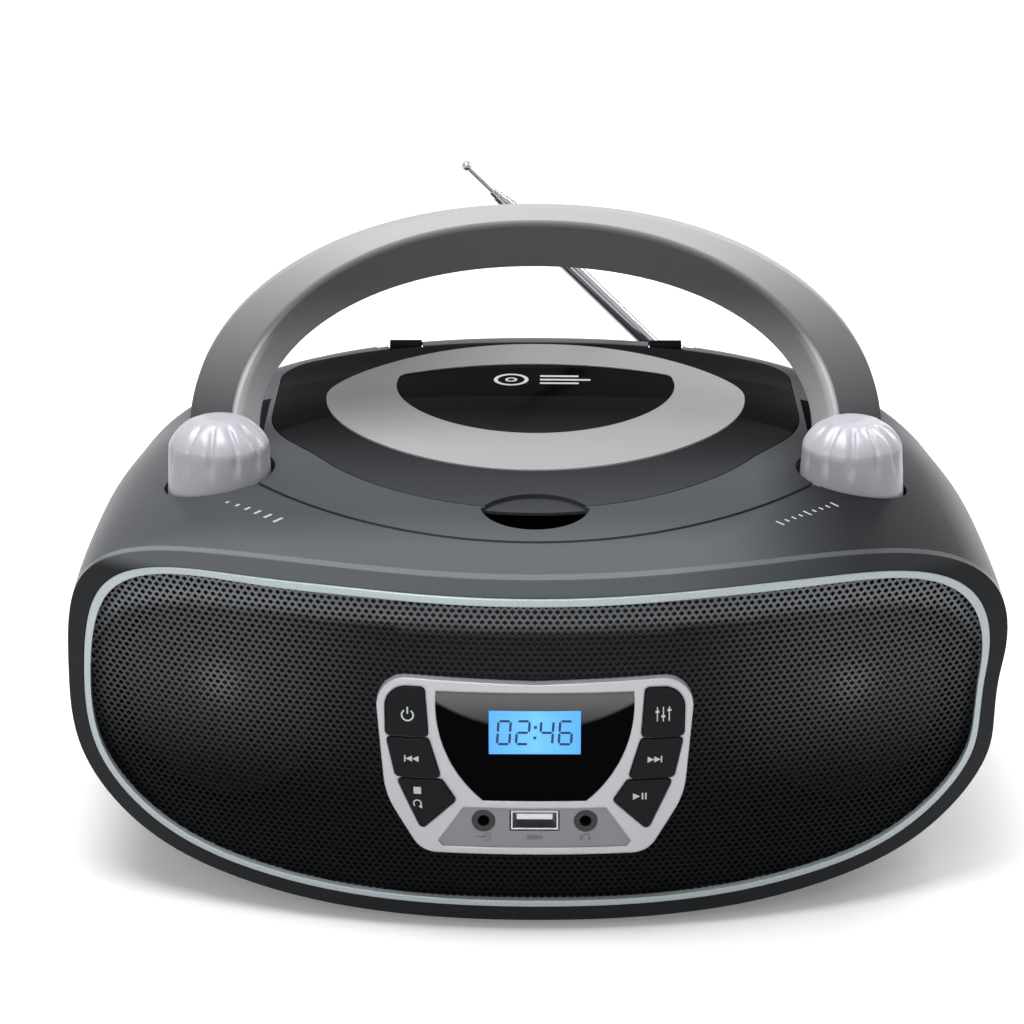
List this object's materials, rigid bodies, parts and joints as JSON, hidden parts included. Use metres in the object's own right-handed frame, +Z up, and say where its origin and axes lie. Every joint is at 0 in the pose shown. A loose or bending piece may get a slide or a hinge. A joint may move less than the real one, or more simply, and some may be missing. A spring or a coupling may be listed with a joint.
{
  "type": "portable cd radio",
  "caption": "Portable CD radio with a rounded body, wide curved speaker grille, control panel with display, folding carrying handle, shoulder knobs, hinged disc lid and telescopic aerial.",
  "frame": {"origin": "middle of the whole in plan, on the surface that the feet stand on", "axes": "+X to the right seen from the front, +Y to the back, +Z up"},
  "size_m": [0.2956, 0.2202, 0.2022],
  "materials": {
    "shell_grey": "satin dark grey",
    "bezel_black": "gloss",
    "trim_silver": "bright line",
    "grille_black": "satin perforated",
    "panel_silver": "satin metallic",
    "plate_grey": "satin metallic",
    "button_black": "satin",
    "window_black": "high gloss",
    "screen_blue": "lit screen",
    "board_green": "circuit board",
    "inner_black": "moulded",
    "steel": "plain",
    "knob_silver": "satin metallic",
    "lid_black": "high gloss",
    "ring_silver": "satin metallic",
    "handle_silver": "satin metallic",
    "cone_black": "treated paper",
    "ferrite": "ferrite",
    "rubber_black": "plain",
    "brass": "plated",
    "chrome": "polished"
  },
  "bodies": {
    "cabinet": {"front_cabinet": "bezel_black", "trim_ring": "trim_silver", "speaker_grille": "grille_black", "control_panel": "panel_silver", "socket_plate": "plate_grey", "display_window": "window_black", "display_screen": "screen_blue", "key_switches": "inner_black", "key_board": "board_green", "socket_board": "board_green", "aux_jack": "inner_black", "headphone_jack": "inner_black", "usb_socket": "steel", "left_speaker_frame": "steel", "left_speaker_magnet": "ferrite", "right_speaker_frame": "steel", "right_speaker_magnet": "ferrite", "top_shell": "shell_grey", "bottom_shell": "shell_grey", "feet": "rubber_black", "lid_hinge_pins": "steel", "disc_well": "inner_black", "drive_chassis": "steel", "guide_rods": "steel", "spindle_motor": "steel", "sled_motor": "steel", "volume_control": "steel", "tuning_control": "inner_black", "handle_pins": "steel", "battery_contacts": "brass", "power_inlet": "inner_black", "main_board": "board_green", "transformer": "ferrite", "case_screws": "steel"},
    "lid": {"cd_lid": "lid_black", "lid_ring": "ring_silver", "lid_window": "window_black"},
    "volume_knob": {"volume_knob": "knob_silver", "volume_shaft": "steel"},
    "tuning_knob": {"tuning_knob": "knob_silver", "tuning_shaft": "steel"},
    "left_cone": {"left_speaker_cone": "cone_black"},
    "right_cone": {"right_speaker_cone": "cone_black"},
    "power_button": {"power_button": "button_black"},
    "previous_button": {"previous_button": "button_black"},
    "stop_button": {"stop_button": "button_black"},
    "mode_button": {"mode_button": "button_black"},
    "next_button": {"next_button": "button_black"},
    "play_button": {"play_button": "button_black"},
    "turntable": {"turntable": "inner_black"},
    "laser_sled": {"laser_sled": "inner_black"},
    "sled_pinion": {"sled_pinion": "inner_black"},
    "handle": {"handle": "handle_silver"},
    "battery_door": {"battery_door": "shell_grey"},
    "aerial_base": {"aerial_base": "inner_black"},
    "aerial_tube_1": {"aerial_tube_1": "chrome"},
    "aerial_tube_2": {"aerial_tube_2": "chrome"},
    "aerial_tube_3": {"aerial_tube_3": "chrome"},
    "aerial_tube_4": {"aerial_tube_4": "chrome"},
    "aerial_tube_5": {"aerial_tube_5": "chrome"}
  },
  "joints": [
    {"name": "lid_hinge", "type": "hinge", "parent": "cabinet", "child": "lid", "pos_m": [0, 0.0892, 0.1324], "axis": [-1, 0, 0], "range_deg": [0, 10]},
    {"name": "handle_hinge", "type": "hinge", "parent": "cabinet", "child": "handle", "pos_m": [0, 0.0107, 0.114], "axis": [1, 0, 0], "range_deg": [-48, 0]},
    {"name": "volume_turn", "type": "hinge", "parent": "cabinet", "child": "volume_knob", "pos_m": [-0.101, -0.0201, 0.1115], "axis": [0, 0, 1], "range_deg": [-150, 150]},
    {"name": "tuning_turn", "type": "hinge", "parent": "cabinet", "child": "tuning_knob", "pos_m": [0.101, -0.0201, 0.1115], "axis": [0, 0, 1], "range_deg": [-135, 135]},
    {"name": "power_press", "type": "slide", "parent": "cabinet", "child": "power_button", "axis": [0, 1, 0], "range_m": [0, 0.0008], "stiffness_N_per_m": 1200},
    {"name": "previous_press", "type": "slide", "parent": "cabinet", "child": "previous_button", "axis": [0, 1, 0], "range_m": [0, 0.0008], "stiffness_N_per_m": 1200},
    {"name": "stop_press", "type": "slide", "parent": "cabinet", "child": "stop_button", "axis": [0, 1, 0], "range_m": [0, 0.0008], "stiffness_N_per_m": 1200},
    {"name": "mode_press", "type": "slide", "parent": "cabinet", "child": "mode_button", "axis": [0, 1, 0], "range_m": [0, 0.0008], "stiffness_N_per_m": 1200},
    {"name": "next_press", "type": "slide", "parent": "cabinet", "child": "next_button", "axis": [0, 1, 0], "range_m": [0, 0.0008], "stiffness_N_per_m": 1200},
    {"name": "play_press", "type": "slide", "parent": "cabinet", "child": "play_button", "axis": [0, 1, 0], "range_m": [0, 0.0008], "stiffness_N_per_m": 1200},
    {"name": "disc_spin", "type": "hinge", "parent": "cabinet", "child": "turntable", "pos_m": [0, 0.0157, 0.1104], "axis": [0, 0, 1], "continuous": true},
    {"name": "sled_slide", "type": "slide", "parent": "cabinet", "child": "laser_sled", "axis": [0, -1, 0], "range_m": [0, 0.032]},
    {"name": "pinion_turn", "type": "hinge", "parent": "cabinet", "child": "sled_pinion", "pos_m": [0.0278, -0.0263, 0.099], "axis": [0, 0, 1], "range_deg": [0, 460]},
    {"name": "left_cone_move", "type": "slide", "parent": "cabinet", "child": "left_cone", "axis": [-0.4066, -0.9132, 0.0249], "range_m": [-0.001, 0.001], "stiffness_N_per_m": 2000},
    {"name": "right_cone_move", "type": "slide", "parent": "cabinet", "child": "right_cone", "axis": [0.4066, -0.9132, 0.0249], "range_m": [-0.001, 0.001], "stiffness_N_per_m": 2000},
    {"name": "battery_door_hinge", "type": "hinge", "parent": "cabinet", "child": "battery_door", "pos_m": [0, 0.1002, 0.0265], "axis": [-1, 0, 0], "range_deg": [0, 95]},
    {"name": "aerial_swivel", "type": "hinge", "parent": "cabinet", "child": "aerial_base", "pos_m": [0.067, 0.1069, 0.103], "axis": [0, 1, 0], "range_deg": [-44, 90]},
    {"name": "aerial_tilt", "type": "hinge", "parent": "aerial_base", "child": "aerial_tube_1", "pos_m": [0.067, 0.1069, 0.103], "axis": [-0.7034, 0, -0.7108], "range_deg": [0, 80]},
    {"name": "aerial_slide_2", "type": "slide", "parent": "aerial_tube_1", "child": "aerial_tube_2", "axis": [-0.7108, 0, 0.7034], "range_m": [0, 0.08]},
    {"name": "aerial_slide_3", "type": "slide", "parent": "aerial_tube_2", "child": "aerial_tube_3", "axis": [-0.7108, 0, 0.7034], "range_m": [0, 0.08]},
    {"name": "aerial_slide_4", "type": "slide", "parent": "aerial_tube_3", "child": "aerial_tube_4", "axis": [-0.7108, 0, 0.7034], "range_m": [0, 0.08]},
    {"name": "aerial_slide_5", "type": "slide", "parent": "aerial_tube_4", "child": "aerial_tube_5", "axis": [-0.7108, 0, 0.7034], "range_m": [0, 0.08]}
  ],
  "couplings": [
    {"joint": "pinion_turn", "follows": "sled_slide", "rad_per_m": 250}
  ]
}
